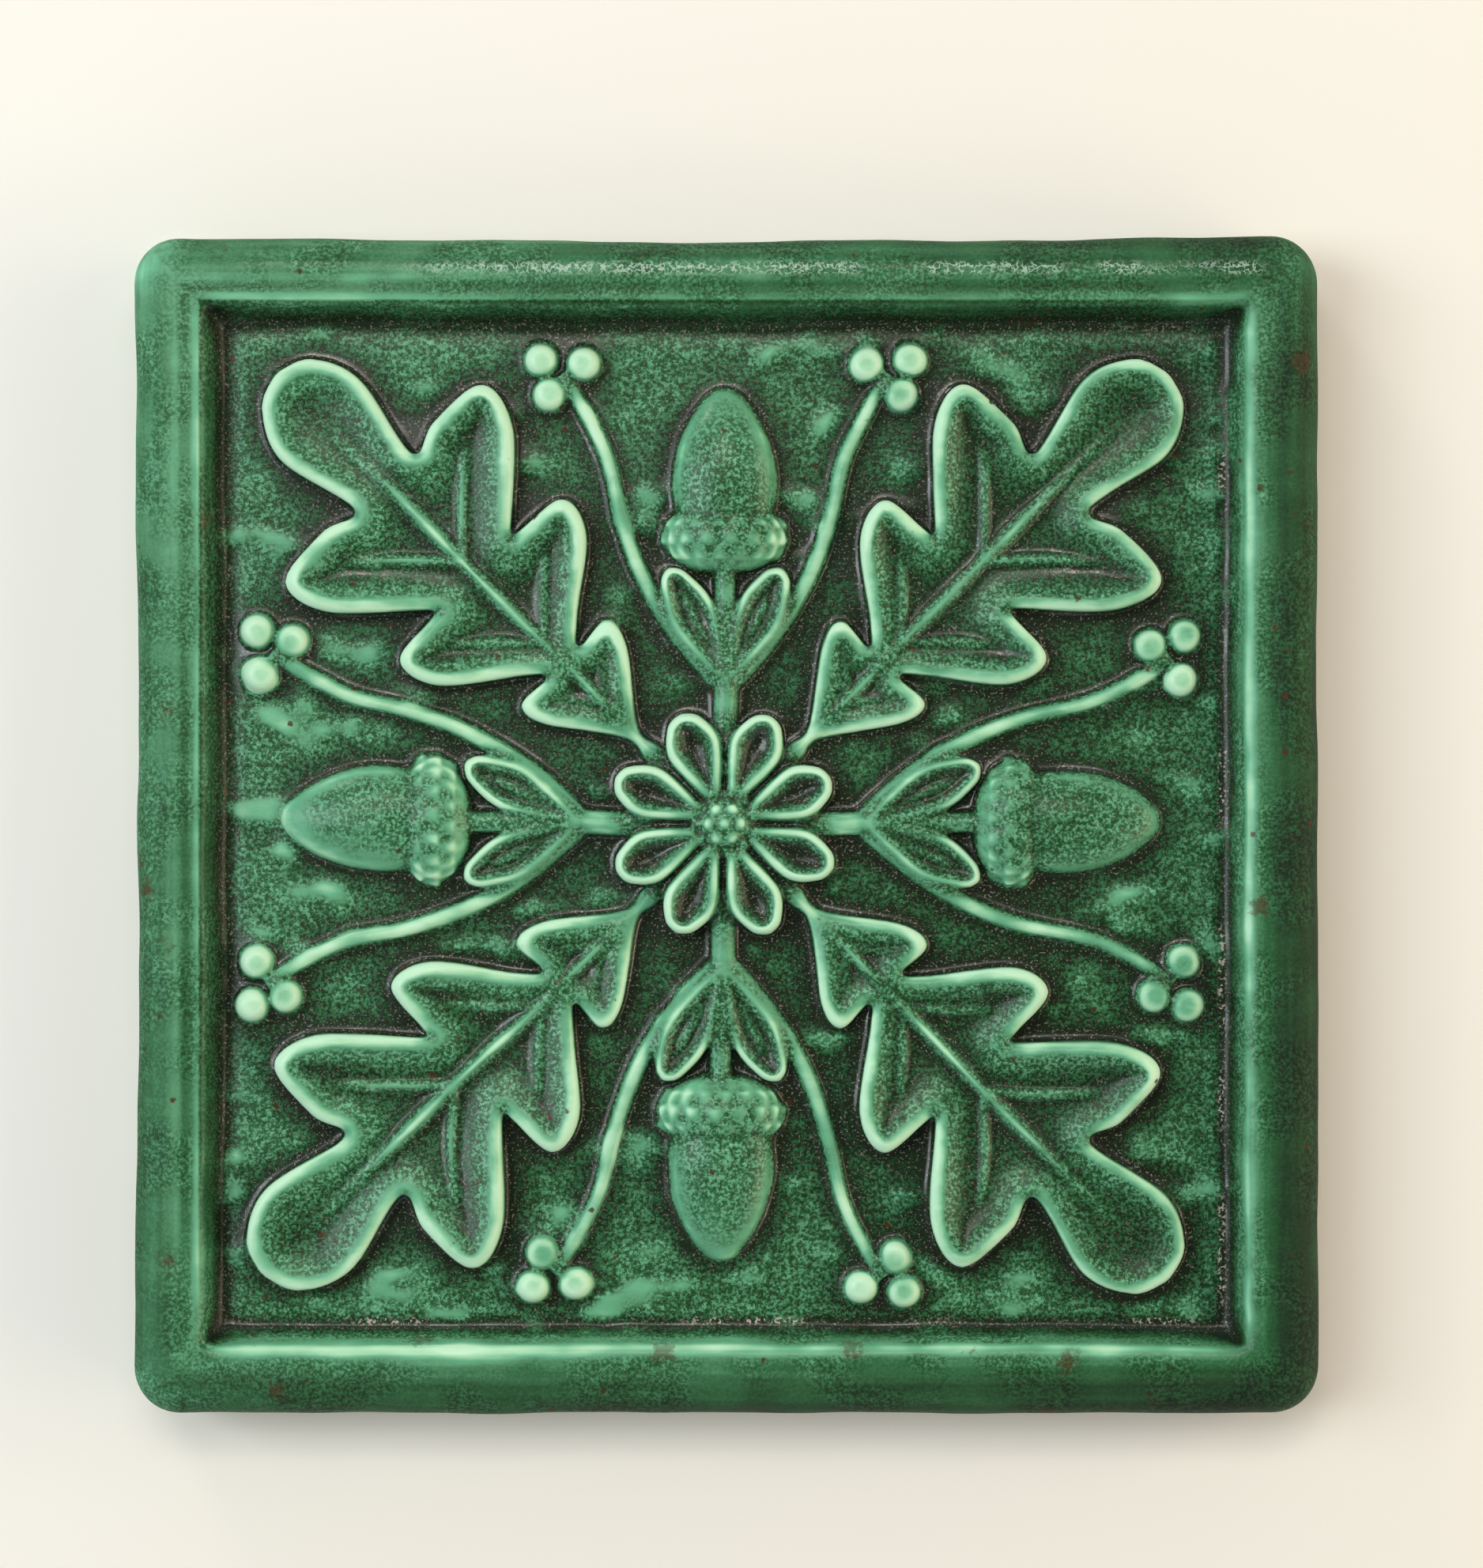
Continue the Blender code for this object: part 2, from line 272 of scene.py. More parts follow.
# The ornament's dies are carved round the field's middle, and their heights are over the field
oakLeaf = {
    "start": 0.0095, "stalk": (0.0012, 0.0075), "stalkHeight": 0.62,
    "points": 9, "columns": 16, "buried": 0.0030,
    "lobes": ((0.0125, 0.0108, 0.0032, 44), (0.0235, 0.0190, 0.0046, 50), (0.0385, 0.0232, 0.0054, 50)),
    "end": (0.0545, 0.0185, 0.0074, 25), "cuts": (0.62, 0.50, 0.46),
    "bladeRise": 0.0015, "rimRise": 0.0035, "crest": 0.0013, "rimWidth": 0.0028, "shoulder": 0.0010,
    "ribRise": 0.0014, "ribWidth": 0.0008, "veinRise": 0.0009, "veinWidth": 0.0006, "curl": 0.0006,
}
leaflet = {
    "start": 0.0, "stalk": (0.0006, 0.0), "points": 12, "columns": 8, "buried": 0.0030,
    "lobes": (), "end": (0.0, 0.0165, 0.0031, 0), "cuts": (),
    "bladeRise": 0.0010, "rimRise": 0.0023, "crest": 0.0007, "rimWidth": 0.0010, "shoulder": 0.0007,
    "ribRise": 0.0008, "ribWidth": 0.0005, "veinRise": 0.0, "veinWidth": 0.0006, "curl": 0.0,
}
petal = {
    "start": 0.0040, "stalk": (0.0012, 0.0), "points": 12, "columns": 10, "buried": 0.0030,
    "lobes": (), "end": (0.0, 0.0112, 0.0034, 0), "cuts": (),
    "bladeRise": 0.0018, "rimRise": 0.0038, "crest": 0.0008, "rimWidth": 0.0014, "shoulder": 0.0010,
    "ribRise": 0.0005, "ribWidth": 0.0004, "veinRise": 0.0, "veinWidth": 0.0006, "curl": 0.0,
}


def leafControls(leaf):  # one side, from stalk to tip: foot on the midrib, along, across
    stalkHalf, stalkLength = leaf["stalk"]
    controls = [(0.0, 0.0, stalkHalf)]
    if stalkLength:
        controls += [(stalkLength * share, stalkLength * share, stalkHalf) for share in (0.5, 1.0)]
    lobes = leaf["lobes"] + (leaf["end"],)
    for (foot, length, half, angle), following, cut in zip(lobes, lobes[1:], leaf["cuts"]):
        turn = math.radians(angle)
        vein = np.array((math.cos(turn), math.sin(turn)))
        tipwards = np.array((math.sin(turn), -math.cos(turn)))
        root = np.array((foot, 0.0))
        shoulder = vein * (length - half)
        spread = 0.16 * half
        controls.append((foot - spread, *(root + shoulder - tipwards * half * 0.9)))
        controls.append((foot, *(root + vein * length - tipwards * half * 0.1)))
        controls.append((foot + spread, *(root + shoulder + tipwards * half)))
        between = (foot + following[0]) / 2
        notchTurn = math.radians((angle + following[3]) / 2)
        depth = cut * min(length, following[1])
        controls.append((between, between + math.cos(notchTurn) * depth, math.sin(notchTurn) * depth))
    foot, length, half, _ = leaf["end"]
    controls.append((foot + length * 0.35, foot + length * 0.55, half))
    controls.append((foot + length * 0.75, foot + length * 0.90, half * 0.62))
    controls.append((foot + length, foot + length, half * 0.08))
    return np.array(controls)


def leafVeins(leaf):  # from the midrib to each side lobe's tip, bending towards the leaf's end
    veins = []
    for foot, length, _, angle in leaf["lobes"]:
        turn = math.radians(angle)
        share = np.linspace(0, 0.86, 9)
        bend = np.sin(share * math.pi) * length * 0.05
        veins.append(np.column_stack((
            foot + share * length * math.cos(turn) + bend * math.sin(turn),
            share * length * math.sin(turn) - bend * math.cos(turn),
        )))
    return veins


def makeLeaf(name, leaf, place):
    controls = leafControls(leaf)
    edge = smoothLine(controls, leaf["points"])
    edge[:, 0] = np.interp(np.arange(len(edge)) / leaf["points"], np.arange(len(controls)), controls[:, 0])
    shares = np.linspace(-1, 1, 2 * leaf["columns"] + 1)
    along = edge[:, 0, None] + (edge[:, 1] - edge[:, 0])[:, None] * abs(shares)
    across = edge[:, 2, None] * shares
    plan = np.column_stack((along.ravel(), across.ravel()))
    folded = np.column_stack((plan[:, 0], abs(plan[:, 1])))
    outline = np.concatenate((edge[:, 1:], [[edge[-1, 1], 0.0]]))
    fromEdge = lineDistance(folded, outline)
    fromRib = folded[:, 1]
    tip = edge[-1, 1]
    crest = leaf["crest"]
    ridge = np.where(  # a rounded rim, then a slow fall to the dished blade
        fromEdge < crest,
        1 - leaf["shoulder"] / (leaf["rimRise"] - leaf["bladeRise"]) * (1 - fromEdge / crest) ** 2,
        np.exp(-(np.maximum(fromEdge - crest, 0) / leaf["rimWidth"]) ** 1.3),
    )
    lobeShare = softStep(fromRib, 0.003, 0.015) if leaf["lobes"] else 1.0  # lower rims in the notches
    rise = leaf["bladeRise"] + (leaf["rimRise"] - leaf["bladeRise"]) * ridge * (0.62 + 0.38 * lobeShare)
    ribFade = 1 - softStep(plan[:, 0], tip * 0.60, tip * 0.96)
    rib = leaf["ribRise"] * ribFade * np.exp(-((fromRib / leaf["ribWidth"]) ** 2))
    for vein in leafVeins(leaf):
        distance = lineDistance(folded, vein)
        fade = 1 - softStep(folded[:, 1], vein[-1, 1] * 0.55, vein[-1, 1] * 1.0)
        rib = np.maximum(rib, leaf["veinRise"] * fade * np.exp(-((distance / leaf["veinWidth"]) ** 2)))
    rise = np.maximum(rise, leaf["bladeRise"] + rib)
    rise += leaf["curl"] * (softStep(fromRib, 0.004, 0.018) - 0.5)  # the lobes' tips lift, the middle sinks
    if leaf["stalk"][1]:
        low = leaf["stalkHeight"]
        rise *= low + (1 - low) * softStep(plan[:, 0], leaf["stalk"][1] * 0.6, leaf["lobes"][0][0] + 0.002)
    rows, columns = len(edge), len(shares)
    top = np.column_stack((leaf["start"] + plan[:, 0], plan[:, 1], field["level"] + rise))
    low = top.copy()
    low[:, 2] = field["level"] - leaf["buried"]
    index = np.arange(rows * columns).reshape(rows, columns)
    faces = []
    for offset in (0, rows * columns):
        for i in range(rows - 1):
            for j in range(columns - 1):
                corners = ((i, j), (i + 1, j), (i + 1, j + 1), (i, j + 1))
                faces.append(tuple(offset + index[corner] for corner in corners))
    rim = list(index[0, :]) + list(index[1:, -1]) + list(index[-1, -2::-1]) + list(index[-2:0:-1, 0])
    for a, b in zip(rim, rim[1:] + rim[:1]):
        faces.append((a, b, b + rows * columns, a + rows * columns))
    faces = [tuple(int(v) for v in face) for face in faces]
    return meshObject(name, np.concatenate((top, low)), faces, place)


def makeBall(name, size, place, shape, segments=64, rings=40):  # a ball along X, shaped by a function
    bm = bmesh.new()
    bmesh.ops.create_uvsphere(bm, u_segments=segments, v_segments=rings, radius=1.0)
    bmesh.ops.rotate(bm, verts=bm.verts, matrix=Matrix.Rotation(math.radians(90), 3, "Y"))
    for vert in bm.verts:
        swell, reach = shape(vert.co)
        vert.co = (
            place[0] + vert.co.x * size[0] * swell + reach,
            place[1] + vert.co.y * size[1] * swell,
            field["level"] + vert.co.z * size[2] * swell,
        )
    mesh = bpy.data.meshes.new(name)
    bm.to_mesh(mesh)
    bm.free()
    obj = bpy.data.objects.new(name, mesh)
    bpy.context.scene.collection.objects.link(obj)
    return obj


acorn = {
    "capAt": 0.0375, "capSize": (0.0052, 0.0083, 0.0043),
    "nutAt": 0.0440, "nutSize": (0.0112, 0.0068, 0.0040),
    "point": 0.0016, "flutes": 22, "fluteDepth": 0.012,
    "scaleRows": 5, "scalesRound": 17, "scaleDepth": 0.12,
    "stemStart": 0.0090, "stemRadius": 0.0013,
    "leafletAt": 0.0185, "leafletAngle": 27,
    "tendril": (
        (0.0180, 0.0006), (0.0250, 0.0066), (0.0320, 0.0108),
        (0.0400, 0.0137), (0.0490, 0.0160), (0.0585, 0.0212),
    ),
    "tendrilRadii": (0.00115, 0.00085),
}
berry = {
    "radius": 0.0023, "height": 0.0025, "dimple": 0.24,
    "at": ((0.0558, 0.0228), (0.0597, 0.0184), (0.0602, 0.0240)),
}


def nutShape(direction):
    around = math.atan2(direction.z, direction.y)
    flute = acorn["fluteDepth"] * math.cos(around * acorn["flutes"]) * (1 - direction.x**2)
    return 1 + flute, max(direction.x, 0.0) ** 6 * acorn["point"]


def capShape(direction):  # overlapping scales in staggered rows
    along = (direction.x + 1) / 2 * acorn["scaleRows"]
    row = math.floor(along)
    around = math.atan2(direction.z, direction.y) / (2 * math.pi) * acorn["scalesRound"] + 0.5 * (row % 2)
    inRow, inTurn = along - row, abs(around - math.floor(around) - 0.5) * 2
    scale = (1 - inTurn**2) * (0.35 + 0.65 * (1 - inRow))
    return 1 + acorn["scaleDepth"] * (scale - 0.5) * (1 - direction.x**4), 0.0


def berryShape(direction):
    return 1 - berry["dimple"] * max(direction.z, 0.0) ** 8, 0.0


def makeRod(name, line, radii):  # a round rod along a line in plan, half sunk in the field
    sides = 16
    turns = np.linspace(0, 2 * math.pi, sides, endpoint=False)
    ahead = np.gradient(line, axis=0)
    ahead /= np.linalg.norm(ahead, axis=1)[:, None]
    rings = []
    for (x, y), (dx, dy), radius in zip(line, ahead, radii):
        sideways = radius * np.cos(turns)
        rings.append(np.column_stack((
            x - dy * sideways, y + dx * sideways, field["level"] + radius * (0.4 + np.sin(turns))
        )))
    last = (len(rings) - 1) * sides
    faces = [list(range(sides)), list(range(last, last + sides))]
    for ring in range(len(rings) - 1):
        for i in range(sides):
            j = (i + 1) % sides
            low, high = ring * sides, (ring + 1) * sides
            faces.append((low + i, low + j, high + j, high + i))
    return meshObject(name, np.concatenate(rings), faces)


def makeAcornSpray():
    share = np.linspace(0, 1, 30)
    stem = np.column_stack((acorn["stemStart"] + (acorn["capAt"] - acorn["stemStart"]) * share, 0 * share))
    pieces = [
        makeRod("stem", stem, acorn["stemRadius"] * (1.3 - 0.35 * share + 0.25 * share**6)),
        makeBall("nut", acorn["nutSize"], (acorn["nutAt"], 0.0), nutShape, 132, 60),
        makeBall("cap", acorn["capSize"], (acorn["capAt"], 0.0), capShape, 170, 80),
    ]
    for side in (1, -1):
        turn = Matrix.Rotation(math.radians(acorn["leafletAngle"] * side), 4, "Z")
        pieces.append(makeLeaf("leaflet", leaflet, Matrix.Translation((acorn["leafletAt"], 0.0, 0.0)) @ turn))
        tendril = smoothLine(np.array(acorn["tendril"]) * (1, side), 6)
        radii = np.linspace(*acorn["tendrilRadii"], len(tendril))
        pieces.append(makeRod("tendril", tendril, radii))
        for along, across in berry["at"]:
            size = (berry["radius"], berry["radius"], berry["height"])
            pieces.append(makeBall("berry", size, (along, across * side), berryShape, 32, 20))
    return joined("acornDie", pieces)


rosette = {
    "petals": 8, "bossRadius": 0.0050, "bossHeight": 0.0044,
    "bedRadius": 0.0125, "bedHeight": 0.0023,  # a low dome under the petals
    "beads": ((1, 0.0), (6, 0.0019), (11, 0.0036)), "beadRadius": 0.00085,
}


def plainShape(direction):
    return 1.0, 0.0


def makeBoss():
    radius, height, bead = rosette["bossRadius"], rosette["bossHeight"], rosette["beadRadius"]
    bed = (rosette["bedRadius"], rosette["bedRadius"], rosette["bedHeight"])
    pieces = [
        makeBall("boss", (radius, radius, height), (0.0, 0.0), plainShape),
        makeBall("bed", bed, (0.0, 0.0), plainShape),
    ]
    for count, ringRadius in rosette["beads"]:
        for i in range(count):
            turn = 2 * math.pi * (i + 0.5 * (count > 6)) / count
            x, y = ringRadius * math.cos(turn), ringRadius * math.sin(turn)
            level = height * math.sqrt(max(1 - (ringRadius / radius) ** 2, 0.0)) - bead * 0.25
            ball = makeBall("bead", (bead,) * 3, (x, y), plainShape, 16, 10)
            ball.data.transform(Matrix.Translation((0.0, 0.0, level)))
            pieces.append(ball)
    return joined("bossDie", pieces)


dies = {
    "Slab": makeSlab(),
    "Oak leaf": makeLeaf("leafDie", oakLeaf, Matrix.Identity(4)),
    "Acorn": makeAcornSpray(),
    "Petal": makeLeaf("petalDie", petal, Matrix.Identity(4)),
    "Boss": makeBoss(),
}
print("dies carved:", {name: len(obj.data.polygons) for name, obj in dies.items()})


# How the dies go round the field
layout = {
    "Leaves": 4, "Leaf turn": math.radians(45), "Acorns": 4, "Acorn turn": 0.0,
    "Petals": rosette["petals"], "Petal turn": math.pi / rosette["petals"],
    "Middle": (*field["offset"], 0.0), "Hand turn": math.radians(0.9), "Hand scale": 0.012, "Seed": 7,
}


def newGroup(name, inputs):  # a Geometry Nodes tree with named inputs
    tree = bpy.data.node_groups.new(name, "GeometryNodeTree")
    sockets = {}
    tree.interface.new_socket("Geometry", in_out="INPUT", socket_type="NodeSocketGeometry")
    for label, kind in inputs.items():
        socket = tree.interface.new_socket(label, in_out="INPUT", socket_type="NodeSocket" + kind)
        sockets[label] = socket.identifier
    tree.interface.new_socket("Geometry", in_out="OUTPUT", socket_type="NodeSocketGeometry")
    entry = tree.nodes.new("NodeGroupInput")
    leave = tree.nodes.new("NodeGroupOutput")
    return tree, sockets, {s.name: Wire(tree, s) for s in entry.outputs}, leave


def closeGroup(tree, leave, shape, material):
    shape = shape.make("GeometryNodeRealizeInstances", None, {"Geometry": shape})
    shape = shape.make("GeometryNodeSetMaterial", None, {"Geometry": shape, "Material": material})
    tree.links.new(shape.socket, leave.inputs[0])


def useGroup(obj, tree, sockets, values):
    modifier = obj.modifiers.new(tree.name, "NODES")
    modifier.node_group = tree
    for label, value in values.items():
        modifier[sockets[label]] = value
    return modifier


def layoutTree(material):
    kinds = {name: "Object" for name in dies if name != "Slab"}
    kinds |= {"Leaves": "Int", "Leaf turn": "Float", "Acorns": "Int", "Acorn turn": "Float"}
    kinds |= {"Petals": "Int", "Petal turn": "Float", "Middle": "Vector"}
    kinds |= {"Hand turn": "Float", "Hand scale": "Float", "Seed": "Int"}
    tree, sockets, given, leave = newGroup("ornamentLayout", kinds)
    bench = Wire(tree)

    def shapeOf(die):
        settings = {"transform_space": "ORIGINAL"}
        return bench.make("GeometryNodeObjectInfo", settings, {"Object": die}, "Geometry")

    def ring(die, count, turn):  # so many copies of a die round the middle, each a little off true
        points = bench.make("GeometryNodePoints", None, {"Count": count, "Position": given["Middle"]})
        number = bench.make("GeometryNodeInputIndex")
        wobble = bench.make("FunctionNodeRandomValue", {"data_type": "FLOAT"}, {
            "Min": given["Hand turn"] * -1.0, "Max": given["Hand turn"],
            "ID": number, "Seed": given["Seed"],
        }, "Value")
        grow = bench.make("FunctionNodeRandomValue", {"data_type": "FLOAT"}, {
            "Min": 1.0 - given["Hand scale"] * 2.0, "Max": 1.0,
            "ID": number, "Seed": given["Seed"] + 1.0,
        }, "Value")
        angle = turn + number * (2 * math.pi) / count + wobble
        spin = bench.make("ShaderNodeCombineXYZ", None, {"Z": angle})
        spin = bench.make("FunctionNodeEulerToRotation", None, {"Euler": spin})
        size = bench.make("ShaderNodeCombineXYZ", None, {"X": grow, "Y": grow, "Z": 1.0})
        return bench.make(
            "GeometryNodeInstanceOnPoints", None,
            {"Points": points, "Instance": shapeOf(die), "Rotation": spin, "Scale": size},
        )

    place = {"Geometry": shapeOf(given["Boss"]), "Translation": given["Middle"]}
    boss = bench.make("GeometryNodeTransform", None, place)
    parts = [
        given["Geometry"], boss,
        ring(given["Oak leaf"], given["Leaves"], given["Leaf turn"]),
        ring(given["Acorn"], given["Acorns"], given["Acorn turn"]),
        ring(given["Petal"], given["Petals"], given["Petal turn"]),
    ]
    both = bench.make("GeometryNodeJoinGeometry", None, {"Geometry": parts[0]})
    for part in parts[1:]:
        tree.links.new(part.socket, both.socket.node.inputs[0])
    closeGroup(tree, leave, both, material)
    return tree, sockets


# Clay pressed by hand, and how the glaze lies on it
skin = {
    "voxel": 0.00029, "triangles": 190000, "softness": 0.00042,
    "reach": {"glazeFine": 0.0006, "glazeMid": 0.0015, "glazeWide": 0.0031},  # how far round each looks
    "strokes": (0.54, 0.76),  # how much of the noise becomes strokes of the tool
    "fieldFades": (0.0006, 0.0014), "footFades": (0.004, 0.009), "edgeFades": (-0.001, 0.001),
}


def blurSteps(reach):  # how often a value is passed on to its neighbours to spread so far
    return max(1, round((reach / skin["voxel"]) ** 2 / 0.4))


press = {
    "Side wander": 0.00022, "Rise wander": 0.00012, "Wander size": 0.016,
    "Tooling": 0.00025, "Tooling size": 0.0078, "Tooling stretch": 1.6,
    "Field level": field["level"], "Field reach": field["halfWidth"],
    "Softness": blurSteps(skin["softness"]),
} | {label: blurSteps(reach) for label, reach in skin["reach"].items()}


def pressTree(material):
    kinds = {label: "Int" if isinstance(value, int) else "Float" for label, value in press.items()}
    tree, sockets, given, leave = newGroup("handPress", kinds)
    bench = Wire(tree)
    place = bench.make("GeometryNodeInputPosition")
    apart = {axis: bench.make("ShaderNodeSeparateXYZ", None, {"Vector": place}, axis) for axis in "XYZ"}
    height, fromMiddle = apart["Z"], apart["X"].size().atLeast(apart["Y"].size())
    raised = height.between(*skin["footFades"])  # the foot stays flat

    noise = bench.make(
        "ShaderNodeTexNoise", None,
        {"Vector": place, "Scale": 1.0 / given["Wander size"], "Detail": 1.0, "Roughness": 0.5}, "Color",
    )
    wander = bench.vector("SUBTRACT", {0: noise, 1: (0.5, 0.5, 0.5)})
    sideways = bench.vector("SCALE", {0: wander, "Scale": given["Side wander"] * 4.0})
    flat = bench.vector("MULTIPLY", {0: sideways, 1: (1.0, 1.0, 0.0)})
    stretch = bench.make("ShaderNodeCombineXYZ", None, {"X": 1.0, "Y": given["Tooling stretch"], "Z": 1.0})
    tooling = bench.make(
        "ShaderNodeTexNoise", None,
        {
            "Vector": bench.vector("MULTIPLY", {0: place, 1: stretch}),
            "Scale": 1.0 / given["Tooling size"], "Detail": 1.0, "Roughness": 0.5,
        },
    ).between(*skin["strokes"])
    onField = 1.0 - (height - given["Field level"]).between(*skin["fieldFades"])
    onField = onField * (1.0 - (fromMiddle - given["Field reach"]).between(*skin["edgeFades"]))
    tooling = tooling * onField * raised  # low strokes left by the tool in the field
    lift = bench.make("ShaderNodeSeparateXYZ", None, {"Vector": wander}, "Z") * given["Rise wander"] * 4.0
    lift = lift * raised + tooling * given["Tooling"]
    up = bench.make("ShaderNodeCombineXYZ", None, {"Z": lift})
    shape = bench.make("GeometryNodeStoreNamedAttribute", {"data_type": "FLOAT", "domain": "POINT"}, {
        "Geometry": given["Geometry"], "Name": "toolStroke", "Value": tooling,
    })
    shape = bench.make("GeometryNodeSetPosition", None, {
        "Geometry": shape, "Offset": bench.vector("ADD", {0: flat, 1: up}),
    })
    soft = bench.make(
        "GeometryNodeBlurAttribute", {"data_type": "FLOAT_VECTOR"},
        {"Value": bench.make("GeometryNodeInputPosition"), "Iterations": given["Softness"], "Weight": 1.0},
    )
    shape = bench.make("GeometryNodeSetPosition", None, {"Geometry": shape, "Position": soft})
    normal = bench.make("GeometryNodeInputNormal")
    for label in skin["reach"]:
        here = bench.make("GeometryNodeInputPosition")
        around = bench.make(
            "GeometryNodeBlurAttribute", {"data_type": "FLOAT_VECTOR"},
            {"Value": here, "Iterations": given[label], "Weight": 1.0},
        )
        hollow = bench.vector("SUBTRACT", {0: around, 1: here})
        depth = bench.vector("DOT_PRODUCT", {0: hollow, 1: normal}, "Value") * 1000.0  # millimetres
        shape = bench.make("GeometryNodeStoreNamedAttribute", {"data_type": "FLOAT", "domain": "POINT"}, {
            "Geometry": shape, "Name": label, "Value": depth,
        })
    slope = 1.0 - bench.make("ShaderNodeSeparateXYZ", None, {"Vector": normal}, "Z")
    slope = bench.make(
        "GeometryNodeBlurAttribute", {"data_type": "FLOAT"}, {"Value": slope, "Iterations": 3, "Weight": 1.0},
    )
    shape = bench.make("GeometryNodeStoreNamedAttribute", {"data_type": "FLOAT", "domain": "POINT"}, {
        "Geometry": shape, "Name": "glazeRun", "Value": slope,
    })
    closeGroup(tree, leave, shape, material)
    return tree, sockets


def settled(obj, name):  # the evaluated object as a plain mesh
    graph = bpy.context.evaluated_depsgraph_get()
    result = obj.evaluated_get(graph)
    mesh = bpy.data.meshes.new_from_object(result, preserve_all_data_layers=True, depsgraph=graph)
    mesh.name = name
    bpy.data.objects.remove(obj, do_unlink=True)
    plain = bpy.data.objects.new(name, mesh)
    bpy.context.scene.collection.objects.link(plain)
    return plain


# The glaze, by how thick it lies: 0 is bare ridge and 1 is a full pool
glaze = {
    "thickness": (
        (0.00, linear(192, 234, 200)), (0.12, linear(160, 214, 174)), (0.24, linear(106, 176, 138)),
        (0.36, linear(82, 138, 102)), (0.50, linear(53, 106, 70)), (0.66, linear(38, 80, 47)),
        (0.82, linear(26, 55, 31)), (1.00, linear(15, 34, 18)),
    ),
    "level": 0.50, "fineShare": 0.50, "midShare": 0.85, "hollowShare": 0.32, "swellShare": 0.03,
    "domeEase": 0.10, "runOff": 0.16, "strokeThin": 0.26, "uneven": 0.60, "drawn": 0.90,
    "outerSide": 0.20, "paintedShadeLip": 0.06, "paintedLightLip": 0.13, "paintedShadeWall": 0.42, "groove": 0.10,
    "margin": 0.10, "streaks": 0.36, "filled": (0.26, 0.50),
    "clay": ((0.30, linear(170, 150, 124)), (0.62, linear(196, 178, 152))), "pool": linear(38, 41, 25),
    "iron": linear(72, 40, 18), "crystal": linear(150, 142, 136), "paintedGlintNet": linear(178, 206, 188),
    "paintedFleck": linear(206, 190, 178),
    "roughness": 0.29, "glossiest": 0.15, "dullest": 0.85, "coatRoughness": 0.17, "ior": 1.28,
}
grain = {  # how large each thing that varies is, in metres
    "wash": 0.0120, "mottle": 0.0028, "rimPatch": 0.0075, "streak": 0.0020, "borderPatch": 0.0085,
    "curdle": 0.00045, "cluster": 0.0013, "crystal": 0.00032, "ironCell": 0.0042, "ironPatch": 0.0070,
    "ironEdge": 0.0004, "stainCell": 0.0115, "stainEdge": 0.0010, "paintedGlintNet": 0.0010, "paintedGlintPatch": 0.0060,
    "paintedFleck": 0.0005, "paintedFleckPatch": 0.0130, "bareEdge": 0.0040, "clay": 0.0012, "glint": 0.0200,
    "gloss": 0.0090, "pit": 0.0008, "swell": 0.0060,
}
bands = {  # outside the field's edge: where each strip round it begins, is full, fades and ends
    "wall": (-0.0029, -0.0019, -0.0002, 0.0003), "groove": (0.0008, 0.0018, 0.0020, 0.0034),
    "margin": (-0.0056, -0.0034, -0.0026, -0.0016), "lip": (-0.0012, 0.0002, 0.0016, 0.0030),
    "wallFoot": (-0.0036, -0.0031, -0.0027, -0.0022), "paintedGlintNet": (0.0030, 0.0038, 0.0044, 0.0054),
}
beyondEdge = {  # and where what lasts to the outside begins and is full
    "border": (-0.0040, 0.0010), "outer": (0.0026, 0.0052), "side": (0.0056, 0.0072),
    "corner": (-0.0052, -0.0038),
}


